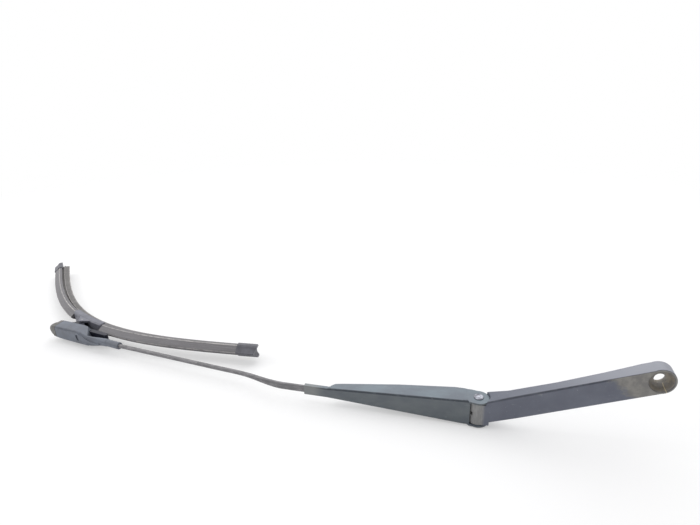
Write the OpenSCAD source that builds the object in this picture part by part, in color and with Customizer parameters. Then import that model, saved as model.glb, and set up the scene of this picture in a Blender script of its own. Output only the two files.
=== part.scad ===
// Windscreen wiper arm with its flat blade, lying on its side.
// The origin is the centre of the spindle bore, the bore runs along Y and its
// nut side faces -Y, and the arm reaches away along -X. Millimetres.
// Every part shares one mid-plane across its width, which is the XY plane of
// the hinge: the mounting head alone climbs out of it, up to the spindle.

/* [Mounting head] */
// Distance along X from the spindle bore to the hinge rivet
hinge_x = 128; // [100:1:160]
// Height of the spindle bore above the arm's mid-plane
hinge_z = 46.2; // [20:0.2:60]
// Distance of the outer face from the hinge axis
face_y = 7.3; // [6.9:0.1:7.7]
// Half width of the head along most of its length
head_half_w = 10.8; // [10:0.1:13]
// Half width of the head where it meets the knuckle
head_neck_half_w = 9.9; // [8.5:0.1:10.5]
// Thickness of the head round the spindle
boss_depth = 12; // [11.5:0.1:14]
// Thickness of the head at its thinnest, along the middle
waist_depth = 8.6; // [7.5:0.1:10.5]
// Radius of the rounded edge of the outer face
head_edge_r = 1.2; // [0.6:0.1:1.8]
// Wall of the casting round the hollow in its back
cast_wall = 2.3; // [1.8:0.1:3]
// Thickness of the ribs across that hollow
rib_t = 1.8; // [1.2:0.1:3]
// Number of ribs across the hollow
rib_count = 2; // [1:1:4]

/* [Spindle seat] */
// Radius of the hole for the spindle's thread
bore_r = 4.2; // [3.6:0.1:5]
// Length of the parallel part of that hole
bore_len = 4; // [3:0.1:5]
// Radius at the mouth of the taper that takes the knurled cone
taper_r = 5.6; // [5.2:0.1:6.5]
// Radius of the nut recess at the outer face
recess_r = 9.2; // [8.4:0.1:9.6]
// Radius of the nut recess at its floor
recess_floor_r = 6.8; // [6.2:0.1:7.6]

/* [Hinge] */
// Radius of the knuckle
knuckle_r = 8; // [7.7:0.1:8.2]
// Radius of the rounded ears on the retainer
ear_r = 8.8; // [8.3:0.1:10]
// Radius of the rivet's shank
rivet_r = 2.2; // [1.8:0.1:2.3]
// Radius of the rivet's heads
rivet_head_r = 4; // [3.2:0.1:5]
// Height of the rivet's heads
rivet_head_h = 1.15; // [0.8:0.05:1.6]
// Wall of the bushes between rivet and knuckle
bush_wall = 0.5; // [0.4:0.05:0.6]
// Radius of the flange on each bush
bush_flange_r = 4.6; // [4:0.1:6]
// Thickness of that flange
bush_flange_t = 0.7; // [0.4:0.05:0.9]
// Length of each bush inside the knuckle
bush_len = 7.6; // [5:0.1:7.8]
// Angle by which the arm is folded towards the glass at rest
arm_yaw = 3; // [0:0.5:5]

/* [Spring link] */
// Place of the spring pin along X, from the hinge axis
pin_x = 4.8; // [4.6:0.1:5.2]
// Place of the spring pin towards the glass, from the hinge axis
pin_y = 4; // [3.8:0.1:4.3]
// Radius of the spring pin
spring_pin_r = 1.2; // [0.9:0.1:1.3]
// Thickness of the link plate
link_t = 2.4; // [1.8:0.1:2.8]
// Half width of the link plate
link_half_w = 1.1; // [0.8:0.05:1.2]
// Distance from the spring pin to the eye for the spring
link_len = 16.9; // [16.5:0.1:18]
// Radius of the hub that stays round the rivet inside the slot
hub_r = 3.6; // [3.5:0.05:3.7]

/* [Retainer] */
// Half width of the channel at the hinge
ret_half_w = 11.7; // [11:0.1:13]
// Half width of the channel where it meets the neck
ret_end_half_w = 4.3; // [4:0.1:5]
// Depth of the side flanges behind the hinge axis, near the hinge
flange_back = 11; // [9.5:0.1:13]
// Sheet thickness of the channel
sheet_t = 1.1; // [0.9:0.05:1.2]
// Distance from the hinge axis to the end of the front web
web_start = 6.2; // [6:0.1:7]
// Distance from the hinge axis to the end of the tapered channel
ret_len = 126; // [115:1:150]
// Length of the clinched neck beyond it
neck_len = 24; // [15:1:35]
// Width of the seam where the clinched lips meet
seam = 0.8; // [0.4:0.1:1.4]

/* [Rod] */
// Width of the flattened part of the rod
flat_w = 5.2; // [4.6:0.1:6]
// Thickness of the flattened part of the rod
flat_t = 2.6; // [2.2:0.1:3]
// Diameter of the round part of the rod
rod_d = 4.2; // [3.8:0.1:5]
// Straight length of rod beyond the neck, before it cranks
crank_start = 28; // [20:1:40]
// Length of the crank
crank_len = 35; // [28:1:50]
// Angle of the crank towards the glass
crank_deg = 14.5; // [8:0.5:18]
// Length of the round part after the crank
rod_len = 153; // [120:1:200]
// Angle of the round part towards the glass
rod_deg = 6.8; // [4:0.1:9]
// Angle of the end fitting towards the glass
fitting_deg = 9.5; // [7:0.1:12]
// Distance from the hinge axis to the hole for the spring
spring_hole_u = 85; // [80:1:92]
// Offset of the rod's inner end from the hinge axis, away from the glass
spring_hole_v = 1; // [0.5:0.1:1.5]

/* [Tension spring] */
// Radius of the coil's centre line
coil_r = 3.4; // [2.8:0.1:3.8]
// Diameter of the spring wire
wire_d = 1.4; // [1:0.1:1.5]
// Pitch of the coil
coil_pitch = 2.4; // [1.9:0.1:3.2]
// Length of each end hook
hook_len = 10; // [8:0.5:12]

/* [End fitting] */
// Outer radius of the socket
socket_r = 3.7; // [3.3:0.1:4.2]
// Depth of the hole in the socket
socket_depth = 15; // [10:1:18]
// Length of the socket and neck, up to the channel
fit_neck = 44; // [38:1:48]
// Length of the channel
fit_channel = 53; // [48:1:56]
// Half width of the channel at its outer face
fit_half_w = 7.8; // [7.2:0.1:9]
// Extra half width at the open side, from the draft of the flanges
fit_draft = 0.9; // [0.4:0.1:1.4]
// Distance of the outer face from the rod's axis
fit_front = 4.6; // [4.2:0.1:5.4]
// Distance of the open side from the rod's axis
fit_back = 7.6; // [6.5:0.1:8]
// Wall of the channel
fit_wall = 1.5; // [1.2:0.1:1.8]
// Height of the curved shoulder on the outer face
shoulder_h = 0.7; // [0.4:0.1:0.9]
// Width of the button's window
window_w = 2.8; // [2.4:0.1:3.4]
// Length of the button's window
window_len = 6.8; // [6:0.1:7.6]

/* [Adapter and button] */
// Length of the nose beyond the channel
nose_len = 8.4; // [6:0.1:12]
// Length of the tail that reaches back under the neck
tail_len = 20; // [12:1:24]
// Half width of the tail and of the tongue
tongue_half_w = 4.8; // [4.2:0.1:4.9]
// Radius of the tongue's hub round the pivot pin
tongue_hub_r = 4.2; // [3.4:0.1:4.4]
// Clearance between the adapter and the channel
adapter_gap = 0.15; // [0.05:0.05:0.3]
// Height by which the button lies under the outer face
button_sink = 0.7; // [0.3:0.1:1]
// Travel of the button
button_travel = 1.5; // [1:0.1:1.8]

/* [Blade pivot] */
// Place of the pivot pin along the fitting, from the socket's mouth
pivot_p = 76.5; // [72:0.5:80]
// Distance of the pivot pin from the rod's axis, towards the glass
pivot_q = 18.5; // [17.5:0.1:21]
// Radius of the pivot pin
pivot_r = 1.5; // [1.2:0.1:1.8]
// Height of the pivot pin above the blade's rails
pivot_n = 7; // [6.6:0.1:8]
// Angle of the blade to the fitting at rest
blade_swing = 12.3; // [6:0.1:13]

/* [Blade] */
// Half length of the blade, end caps included
blade_half = 220; // [200:5:260]
// Angle through which each half of the blade bows
bow_deg = 27.8; // [15:0.1:32]
// Length over which most of that bow happens
bow_len = 118; // [90:1:160]
// Width of one steel rail
rail_w = 3.3; // [2.6:0.1:3.6]
// Thickness of the steel rails
rail_t = 0.8; // [0.6:0.05:1]
// Half width of the rubber's web between the rails
rubber_web = 1.6; // [1.2:0.1:2]
// Half width of the spoiler
spoiler_half_w = 6; // [5.8:0.1:7]
// Height of the spoiler's fin above the rails
fin_h = 8; // [6:0.1:8.4]
// Depth of the wiping lip behind the rails
lip_depth = 10.5; // [8:0.1:12]
// Length of each end cap
cap_len = 21; // [15:1:28]
// Height by which the end caps stand proud of the spoiler
cap_proud = 0.7; // [0.4:0.1:1]
// Half length of the connector
conn_half = 29; // [24:1:34]
// Half width of the connector
conn_half_w = 7.6; // [7.2:0.1:8.4]

/* [Fits] */
// Radial clearance of a running fit
run_gap = 0.05; // [0.03:0.01:0.08]
// Radial clearance of a pressed or riveted fit
seat_gap = 0.02; // [0.01:0.01:0.03]
// Clearance between pieces that slide past each other
slide_gap = 0.3; // [0.2:0.05:0.35]
// Clearance between soft pieces and what they sit on
soft_gap = 0.15; // [0.1:0.05:0.2]

/* [Hidden] */

round_fn = 48;
eps = 0.01;
far = 40;
edge_bevel = 0.12;

// Mounting head: its centre line runs straight from the hinge to the bore.
head_rise = atan(hinge_z / hinge_x);
head_len = sqrt(hinge_x * hinge_x + hinge_z * hinge_z);
floor_y = -bore_len / 2;
hollow_start = 18;
hollow_end = 22;
hollow_corner = 2;
front_draft = 0.4;

// Hinge stack, from the mid-plane outwards.
ear_proud = 0.1;
ear_inner = ret_half_w - sheet_t - ear_proud;
ear_outer = ret_half_w + ear_proud;
knuckle_half = ear_inner - bush_flange_t - 0.1;
bush_r = rivet_r + run_gap + bush_wall;
slot_half = link_t / 2 + slide_gap;
link_eye_r = spring_pin_r + link_half_w;
link_hole_r = 1.1;

// Retainer: front web at face_y, flanges reaching back past the hinge axis.
bend_r = 1.6;
neck_wall = sheet_t;
neck_half_w = flat_w / 2 + seat_gap + neck_wall;
rod_v = face_y - neck_wall - seat_gap - flat_t / 2;
neck_back = rod_v - flat_t / 2 - seat_gap - neck_wall;
neck_end = ret_len + neck_len;

// Rod: its centre line in the arm's own plane, u along the arm, v outwards.
crank_u = neck_end + crank_start;
crank_v2 = rod_v - crank_len * tan(crank_deg);
socket_u = crank_u + crank_len + rod_len;
socket_v = crank_v2 - rod_len * tan(rod_deg);

// Spring: from the hole in the rod's inner end to the eye of the link.
arm_dir = 180 - arm_yaw;
hole_row = [spring_hole_u * cos(arm_dir) - spring_hole_v * sin(arm_dir),
            spring_hole_u * sin(arm_dir) + spring_hole_v * cos(arm_dir)];
pin_row = [pin_x, pin_y];
spring_span = norm(pin_row - hole_row);
spring_dir = atan2(pin_row[1] - hole_row[1], pin_row[0] - hole_row[0]);
eye_x = spring_span - link_len;
coil_len = eye_x - 2 * hook_len;
coil_turns = floor(coil_len / coil_pitch) + 0.25;

// End fitting and adapter: p along the fitting, q away from the glass.
window_p = 58;
web_in = fit_front - fit_wall;
block_half = fit_half_w - fit_wall - adapter_gap;
channel_end = fit_neck + fit_channel;

// Blade: s along the rails, n away from the glass.
rail_in = rubber_web + 0.1;
rail_out = rail_in + rail_w;
cap_s = blade_half - cap_len;
cap_plate = 3;
rail_end = blade_half - cap_plate - slide_gap;
table_step = 2;

function tanh(x) = (exp(2 * x) - 1) / (exp(2 * x) + 1);
function unit(v) = v / norm(v);
function arc(c, r, a0, a1, n) = [for (i = [0:n]) let (a = a0 + (a1 - a0) * i / n) c + r * [cos(a), sin(a)]];
function curve3(a, b, c, n) = [for (i = [0:n]) let (t = i / n) a * (1 - t) * (1 - t) + b * 2 * t * (1 - t) + c * t * t];
function power(x, e) = sign(x) * pow(abs(x), e);
function mix(a, b, t) = a + (b - a) * t;
function smooth01(t) = let (k = min(1, max(0, t))) k * k * (3 - 2 * k);

// A closed solid through rings of points that run anticlockwise seen from the far end.
module skin(rings) {
    m = len(rings[0]);
    k = len(rings);
    near = [for (i = [0:m - 1]) i];
    far_end = [for (i = [0:m - 1]) k * m - 1 - i];
    sides = [for (j = [0:k - 2]) for (i = [0:m - 1]) for (half = [0:1])
        let (a = j * m + i, b = j * m + (i + 1) % m)
        half == 0 ? [a, a + m, b + m] : [a, b + m, b]];
    polyhedron(points = [for (r = rings) each r], faces = concat(sides, [near], [far_end]));
}

module at_hinge() translate([-hinge_x, 0, -hinge_z]) children();
module arm_frame() at_hinge() rotate([0, 0, arm_dir]) children();
module head_frame() rotate([0, -head_rise, 0]) children();
module fitting_frame() arm_frame() translate([socket_u, socket_v, 0]) rotate([0, 0, -fitting_deg]) children();
module blade_frame()
    fitting_frame() translate([pivot_p, -pivot_q, 0]) rotate([0, 0, -blade_swing]) translate([0, -pivot_n, 0]) children();
module both_sides() for (side = [-1, 1]) mirror([0, 0, side < 0 ? 1 : 0]) children();

// Mounting head.
// Distance x is measured along the head from the bore, so the hinge is at -head_len.
function head_half(x) = lookup(x, [[-head_len, head_neck_half_w], [-head_len + 26, head_half_w - 0.2], [-20, head_half_w], [0, head_half_w - 0.2]]);
function head_depth(x) = lookup(x, [[-head_len, boss_depth + 3], [-head_len + 13, boss_depth + 1.2],
    [-head_len + 28, waist_depth + 1], [-70, waist_depth], [-35, waist_depth + 1.2], [-14, boss_depth - 0.6], [-9, boss_depth], [0, boss_depth]]);
function head_ring(x) = let (w = head_half(x), f = w - front_draft, d = head_depth(x), c = -face_y + head_edge_r)
    [for (p = concat([[d - face_y, -w], [d - face_y, w]],
        arc([c, f - head_edge_r], head_edge_r, 90, 180, 3),
        arc([c, head_edge_r - f], head_edge_r, 180, 270, 3))) [x, p[0], p[1]]];
head_stations = [for (x = [-head_len + 3, -head_len + 13, -head_len + 20, -head_len + 28, -head_len + 40, -80, -70, -52, -35, -24, -14, -9, 0]) x];

module head_end() {
    // The round end about the spindle, with the same rounded front edge.
    rotate([90, 0, 0]) rotate_extrude($fn = 96)
        polygon(concat([[0, face_y - boss_depth], [head_half_w, face_y - boss_depth]],
            arc([head_half_w - front_draft - head_edge_r, face_y - head_edge_r], head_edge_r, 0, 90, 4), [[0, face_y]]));
}

module head_hollow() {
    x0 = -head_len + hollow_start;
    step = (head_len - hollow_start - hollow_end + rib_t) / (rib_count + 1);
    for (i = [0:rib_count]) {
        a = x0 + i * step;
        b = a + step - rib_t;
        ha = head_half(a) - cast_wall;
        hb = head_half(b) - cast_wall;
        r = hollow_corner;
        translate([0, cast_wall - face_y, 0]) rotate([-90, 0, 0]) linear_extrude(far)
            polygon(concat(arc([a + r, -ha + r], r, 180, 270, 4), arc([b - r, -hb + r], r, 270, 360, 4),
                arc([b - r, hb - r], r, 0, 90, 4), arc([a + r, ha - r], r, 90, 180, 4)));
    }
}

module spindle_seat() {
    rotate([90, 0, 0]) {
        translate([0, 0, floor_y - eps]) cylinder(r = bore_r, h = bore_len + 2 * eps + 0.5, $fn = round_fn);
        translate([0, 0, -far - bore_len / 2]) cylinder(r = bore_r, h = far, $fn = round_fn);
        translate([0, 0, face_y - boss_depth - 0.02])
            cylinder(r1 = taper_r, r2 = bore_r, h = boss_depth - face_y - bore_len / 2 + 0.02, $fn = round_fn);
        rotate_extrude($fn = 72) polygon([[0, -floor_y], [recess_floor_r, -floor_y], [recess_floor_r + 0.5, 0.6 - floor_y],
            [recess_r - 0.8, face_y - 1.6], [recess_r - 0.3, face_y - 0.5], [recess_r + 0.1, face_y + eps], [0, face_y + eps]]);
    }
}

module knuckle() {
    translate([0, 0, -knuckle_half]) linear_extrude(2 * knuckle_half) {
        circle(r = knuckle_r, $fn = 96);
        polygon([[-1, 1.5 - knuckle_r], [3.4, 0.15 - knuckle_r], [8.5, -face_y], [9, 0.2 - face_y], [9, knuckle_r - 0.5], [7, knuckle_r - 0.2], [-1, knuckle_r - 0.4]]);
    }
}

module link_slot() {
    // Open towards the glass and the arm; the front of the knuckle and the hub stay.
    difference() {
        translate([0, 0, -slot_half]) linear_extrude(2 * slot_half)
            polygon([[-far, -far], [-4.3, -far], [-4.3, 0.4], [pin_x + link_eye_r + 0.35, 0.4], [pin_x + link_eye_r + 0.35, far], [-far, far]]);
        cylinder(r = hub_r, h = far, center = true, $fn = round_fn);
    }
}

module arm_head() color([0.20, 0.21, 0.24]) {
    difference() {
        union() {
            head_frame() skin([for (x = head_stations) head_ring(x)]);
            head_end();
            at_hinge() knuckle();
        }
        at_hinge() {
            both_sides() translate([0, 0, knuckle_half]) cylinder(r = ear_r + 0.5, h = far, $fn = 96);
            cylinder(r = bush_r + seat_gap, h = far, center = true, $fn = round_fn);
            translate([pin_x, pin_y, 0]) cylinder(r = spring_pin_r + seat_gap, h = 2 * knuckle_half + 2, center = true, $fn = round_fn);
            link_slot();
        }
        head_frame() head_hollow();
        spindle_seat();
    }
}

// Hinge.
module rivet_head() {
    h = rivet_head_h;
    r = rivet_head_r;
    rotate_extrude($fn = round_fn) polygon([[0, -0.5], [rivet_r, -0.5], [rivet_r, 0], [r, 0], [r, 0.45 * h], [r - 0.5, 0.85 * h],
        [r - 1.2, 0.9 * h], [r - 1.6, 0.5 * h], [r - 2.1, 0.55 * h], [r - 2.6, 0.9 * h], [0, h]]);
}

module hinge_rivet() color([0.45, 0.45, 0.46]) at_hinge() {
    cylinder(r = rivet_r, h = 2 * ear_outer, center = true, $fn = round_fn);
    both_sides() translate([0, 0, ear_outer]) rivet_head();
}

module bush() {
    difference() {
        union() {
            translate([0, 0, knuckle_half - bush_len]) cylinder(r = bush_r, h = bush_len, $fn = round_fn);
            translate([0, 0, knuckle_half]) cylinder(r = bush_flange_r, h = bush_flange_t, $fn = round_fn);
        }
        cylinder(r = rivet_r + run_gap, h = far, $fn = round_fn);
    }
}

module hinge_bush_upper() color([0.72, 0.60, 0.35]) at_hinge() bush();
module hinge_bush_lower() color([0.72, 0.60, 0.35]) at_hinge() mirror([0, 0, 1]) bush();

// Retainer: a folded channel that tapers to a neck clinched round the rod.
function ret_half(u) = mix(ret_half_w, ret_end_half_w, max(0, (u - 12) / (ret_len - 12)));
function ret_back(u) = lookup(u, [[web_start - 3.6, flange_back - 2.8], [12, flange_back - 0.7], [20, flange_back], [31, flange_back - 0.6], [67, flange_back - 2.6],
    [100, flange_back - 6.5], [ret_len - 9, flange_back - 8.4], [ret_len - 3, flange_back - 10.2], [ret_len, -neck_back]]);
function ret_ring(u) = let (h = ret_half(u), b = -ret_back(u), f = face_y, o = bend_r, i = bend_r - 0.9, t = sheet_t, k = h + 0.02)
    [for (p = concat([[b, -h], [b + 1.2, -k], [b + 2.2, -k]], arc([f - o, o - h], o, 270, 360, 3), arc([f - o, h - o], o, 0, 90, 3),
        [[b + 2.2, k], [b + 1.2, k], [b, h], [b + edge_bevel, h - t], [b + 1.7, k - t]], [[f - t - i, h - t], [f - sheet_t, h - t - i]],
        [[f - sheet_t, t + i - h], [f - t - i, t - h]], [[b + 1.7, t - k], [b + edge_bevel, t - h]])) [u, p[0], p[1]]];
function neck_tube(u) = let (w = neck_half_w, t = neck_wall, i = w - t, b = neck_back, f = face_y, c = 0.8, s = seam / 2)
    [for (p = concat([[b + 0.05, -s], [b, c - w], [b + c, -w]], arc([f - c, c - w], c, 270, 360, 3), arc([f - c, w - c], c, 0, 90, 3),
        [[b + c, w], [b, w - c], [b + 0.05, s], [b + t - 0.05, s], [b + t, i]], [[f - t - 0.2, i], [f - t, i - 0.2]],
        [[f - t, 0.2 - i], [f - t - 0.2, -i]], [[b + t, -i], [b + t - 0.05, -s]])) [u, p[0], p[1]]];
ret_stations = [web_start - 3.6, 12, 20, 31, 45, 58, 67, 80, 90, 100, ret_len - 15, ret_len - 9, ret_len - 3, ret_len];

module ear() {
    translate([0, 0, ear_inner]) linear_extrude(ear_outer - ear_inner) {
        circle(r = ear_r, $fn = 96);
        polygon([[0.8, ear_r - 0.1], [6.7, face_y + 0.35], [8.2, face_y - 1.3], [9.5, 4.5], [9.5, 1.7 - flange_back], [8.4, 1.35 - flange_back], [5.6, 1.45 - flange_back], [0.8, 0.1 - ear_r]]);
    }
}

module retainer() color([0.22, 0.24, 0.27]) arm_frame() {
    difference() {
        union() {
            difference() {
                skin(concat([for (u = ret_stations) ret_ring(u)], [neck_tube(ret_len + 3.5), neck_tube(neck_end)]));
                // The web stops short of the knuckle; the flanges run on into the ears.
                translate([web_start - far, face_y - 2.1, -far / 2]) cube([far, far, far]);
            }
            both_sides() ear();
        }
        cylinder(r = rivet_r + seat_gap, h = far, center = true, $fn = round_fn);
    }
}

// Rod: flattened in the retainer, then cranked, round, and pressed into the fitting.
rod_points = [[spring_hole_u - 3.2, spring_hole_v], [spring_hole_u + 6, spring_hole_v], [spring_hole_u + 18, rod_v], [crank_u, rod_v],
    [crank_u + crank_len, crank_v2], [socket_u, socket_v] + 6 * unit([-cos(rod_deg), sin(rod_deg)]),
    [socket_u, socket_v] + (socket_depth - 1) * [cos(fitting_deg), -sin(fitting_deg)]];
rod_bends = [0, 4, 4, 12, 14, 4, 0];
function rod_bend(i) = let (p = rod_points[i], d = rod_bends[i])
    curve3(p + d * unit(rod_points[i - 1] - p), p, p + d * unit(rod_points[i + 1] - p), i == 3 || i == 4 ? 6 : 3);
rod_path = concat([rod_points[0]], [for (i = [1:len(rod_points) - 2]) each rod_bend(i)], [rod_points[len(rod_points) - 1]]);
rod_sides = 14;
function rod_round(u) = smooth01((u - crank_u + 6) / (crank_len + 12));
function rod_ring(i) = let (p = rod_path[i], q = rod_path[max(0, i - 1)], r = rod_path[min(len(rod_path) - 1, i + 1)], d = unit(r - q),
    k = rod_round(p[0]), a = mix(flat_t, rod_d, k) / 2, b = mix(flat_w, rod_d, k) / 2, e = mix(0.55, 1, k))
    [for (j = [0:rod_sides - 1]) let (t = 360 * (j + 0.5) / rod_sides, n = a * power(cos(t), e))
        [p[0] - n * d[1], p[1] + n * d[0], b * power(sin(t), e)]];

module rod() color([0.33, 0.33, 0.33]) arm_frame() {
    difference() {
        skin([for (i = [0:len(rod_path) - 1]) rod_ring(i)]);
        translate([spring_hole_u, spring_hole_v, 0]) rotate([90, 0, 0]) cylinder(r = wire_d / 2 + 0.55, h = 10, center = true, $fn = 32);
    }
}

// Tension spring: a coil about its own x axis with one flat hook at each end.
wire_sides = 6;
coil_steps = 12;
function wire_ring(p, side, up) = [for (j = [0:wire_sides - 1]) let (a = 360 * j / wire_sides) p + wire_d / 2 * (cos(a) * side + sin(a) * up)];
function coil_ring(k) = let (a = 360 * k / coil_steps, c = cos(a), s = sin(a), x = hook_len + coil_len * k / (coil_turns * coil_steps),
    t = unit([coil_len / (coil_turns * 360) * 57.29578, -coil_r * s, coil_r * c]), out = [0, c, s], side = cross(t, out))
    wire_ring([x, coil_r * c, coil_r * s], out, side);
function flat_wire(pts, flat) = [for (i = [0:len(pts) - 1]) let (d = unit(pts[min(i + 1, len(pts) - 1)] - pts[max(i - 1, 0)]))
    wire_ring(pts[i], cross(flat, d), flat)];
hook_out = hook_len + 1.4;
hook_side = flat_t / 2 + wire_d / 2 + 0.25;
rod_hook = [[hook_out, coil_r, 0], [hook_len - 1.5, coil_r - 0.1, 0], [hook_len - 3.5, hook_side + 0.4, 0], [3, hook_side, 0],
    [1, hook_side, 0], [0.25, hook_side - 0.5, 0], [0, 0, 0], [0.25, 0.5 - hook_side, 0], [1, -hook_side, 0], [5, -hook_side, 0]];
eye_side = link_t / 2 + wire_d / 2 + 0.25;
eye_hook = [[eye_x - hook_out, 0, coil_r], [eye_x - hook_len + 1.5, 0, coil_r - 0.1], [eye_x - hook_len + 4, 0, eye_side + 0.4],
    [eye_x - 3, 0, eye_side], [eye_x - 1, 0, eye_side], [eye_x - 0.25, 0, eye_side - 0.5], [eye_x, 0, 0], [eye_x - 0.25, 0, 0.5 - eye_side],
    [eye_x - 1, 0, -eye_side], [eye_x - 5, 0, -eye_side]];

module tension_spring() color([0.42, 0.40, 0.38]) at_hinge() translate([hole_row[0], hole_row[1], 0]) rotate([0, 0, spring_dir]) {
    skin([for (k = [0:coil_turns * coil_steps]) coil_ring(k)]);
    skin(flat_wire(rod_hook, [0, 0, 1]));
    skin(flat_wire(eye_hook, [0, -1, 0]));
}

// Link: a stamped plate whose C passes round the knuckle's hub as the arm lifts.
link_line = [[0, 0], [-0.3, 3.6], [1.2, 6.3], [4.5, 7.6], [8.4, 7.5], [11.8, 6.1], [15.2, 4.2], [link_len, 0]];
function line_normal(i) = let (n = len(link_line), d = unit(link_line[min(i + 1, n - 1)] - link_line[max(i - 1, 0)])) [-d[1], d[0]];
link_outline = concat([for (i = [0:len(link_line) - 1]) link_line[i] + link_half_w * line_normal(i)],
    [for (i = [len(link_line) - 1:-1:0]) link_line[i] - link_half_w * line_normal(i)]);

module spring_link() color([0.38, 0.37, 0.36]) at_hinge() translate([pin_x, pin_y, 0]) rotate([0, 0, spring_dir + 180]) mirror([0, 1, 0])
    translate([0, 0, -link_t / 2]) difference() {
        union() {
            linear_extrude(link_t) polygon(link_outline);
            cylinder(r = link_eye_r, h = link_t, $fn = round_fn);
            translate([link_len, 0, 0]) cylinder(r = link_hole_r + link_half_w, h = link_t, $fn = round_fn);
        }
        translate([0, 0, -1]) cylinder(r = spring_pin_r + run_gap, h = link_t + 2, $fn = round_fn);
        translate([link_len, 0, -1]) cylinder(r = link_hole_r, h = link_t + 2, $fn = round_fn);
    }

module spring_pin() color([0.50, 0.50, 0.50]) at_hinge() translate([pin_x, pin_y, 0])
    cylinder(r = spring_pin_r, h = 2 * knuckle_half, center = true, $fn = round_fn);

// End fitting: a socket that swells into an open channel with a button window.
function fit_half(p) = lookup(p, [[fit_neck, fit_half_w - 0.2], [fit_neck + 10, fit_half_w], [channel_end - 14, fit_half_w],
    [channel_end - 5, fit_half_w - 0.5], [channel_end, fit_half_w - 1.2]]);
function neck_up(p) = lookup(p, [[17, socket_r + 0.25], [34, socket_r + 0.5], [fit_neck, socket_r + 1]]);
function neck_down(p) = lookup(p, [[17, socket_r + 0.25], [26, socket_r + 0.9], [34, fit_half_w - 1.9], [fit_neck, fit_half_w - 0.5], [fit_neck + 2, fit_half_w - 0.5]]);
function neck_ring(p) = let (t = smooth01((p - 17) / (fit_neck - 17)), f = mix(socket_r + 0.25, fit_front - 0.25, t), b = mix(-socket_r - 0.25, web_in - 1, t), e = mix(1, 0.5, t))
    [for (j = [0:15]) let (a = 360 * (j + 0.5) / 16, k = power(sin(a), e)) [p, (f + b) / 2 + (f - b) / 2 * power(cos(a), e), k * (k > 0 ? neck_up(p) : neck_down(p))]];
function fit_ring(p) = let (h = fit_half(p), g = h + fit_draft, o = 1.5, f = fit_front, b = -fit_back)
    [for (q = concat(arc([f - o, h - o], o, 0, 80, 4), [[-2, (g + h) / 2], [b, g], [b - 0.05, g / 3], [b - 0.05, -g / 3], [b, -g], [-2, -(g + h) / 2]],
        arc([f - o, o - h], o, 280, 360, 4))) [p, q[0], q[1]]];
fit_stations = [fit_neck + 0.3, fit_neck + 5, fit_neck + 10, channel_end - 14, channel_end - 9, channel_end - 5, channel_end - 2, channel_end];

module shoulder() {
    // The raised, S-edged part of the outer face, which runs out into the neck.
    top = fit_half_w - 1.7;
    edge = concat([[channel_end - 1.5, -top + 2.5], [channel_end - 1.5, top - 2], [channel_end - 5, top - 0.4]], [[fit_neck + 22, top]],
        curve3([fit_neck + 14, top], [fit_neck + 6, top], [fit_neck + 2, 1.5], 6), curve3([fit_neck - 4, -0.5], [fit_neck - 12, -1.6], [fit_neck - 19, -0.9], 4),
        curve3([fit_neck - 19, -2.2], [fit_neck - 8, -3.6], [fit_neck + 6, -2.4], 4), curve3([fit_neck + 12, -1.6], [fit_neck + 24, 1.8], [fit_neck + 32, -1], 5),
        [[channel_end - 12, -top + 1.5], [channel_end - 5, -top + 0.6]]);
    translate([0, fit_front - 1, 0]) rotate([-90, 0, 0]) mirror([0, 1, 0]) linear_extrude(1 + shoulder_h) polygon(edge);
}

module channel_hollow() {
    // Open at the end and towards the blade; the adapter's block fills it.
    h = fit_half_w - fit_wall;
    translate([0, web_in, 0]) rotate([90, 0, 0]) linear_extrude(far)
        polygon([[fit_neck + fit_wall, -h + 0.2], [channel_end - 14, -h], [channel_end - 5, 0.5 - h], [channel_end + 1, 1.3 - h],
            [channel_end + 1, h - 1.3], [channel_end - 5, h - 0.5], [channel_end - 14, h], [fit_neck + fit_wall, h - 0.2]]);
}

module end_fitting() color([0.33, 0.36, 0.42]) fitting_frame() {
    difference() {
        union() {
            rotate([0, 90, 0]) cylinder(r = socket_r, h = 19, $fn = round_fn);
            skin(concat([for (p = [17, 22, 26, 30, 34, 38, fit_neck]) neck_ring(p)], [for (p = fit_stations) fit_ring(p)]));
            shoulder();
        }
        translate([-1, 0, 0]) rotate([0, 90, 0]) cylinder(r = rod_d / 2 + seat_gap, h = socket_depth + 1, $fn = round_fn);
        translate([window_p - window_w / 2, web_in - 2, -window_len / 2]) cube([window_w, far, window_len]);
        channel_hollow();
        // Way out for the adapter's tail under the neck.
        translate([fit_neck - 2, 0.3 - socket_r - 0.8 - far, -tongue_half_w - 0.3]) cube([fit_wall + 3, far, 2 * tongue_half_w + 0.6]);
    }
}

// Adapter: the block inside the channel, its nose, its tail and its tongue.
function nose_ring(t) = let (h = (fit_half_w - 1.2 + 0.2) * sqrt(max(0.03, 1 - t * t)), f = mix(fit_front, 1.8, t * t), b = mix(-fit_back, -3.4, t * t), e = mix(0.5, 0.8, t))
    [for (j = [0:15]) let (a = 360 * (j + 0.5) / 16) [channel_end + 0.2 + nose_len * t, (f + b) / 2 + (f - b) / 2 * power(cos(a), e), h * power(sin(a), e)]];

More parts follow.
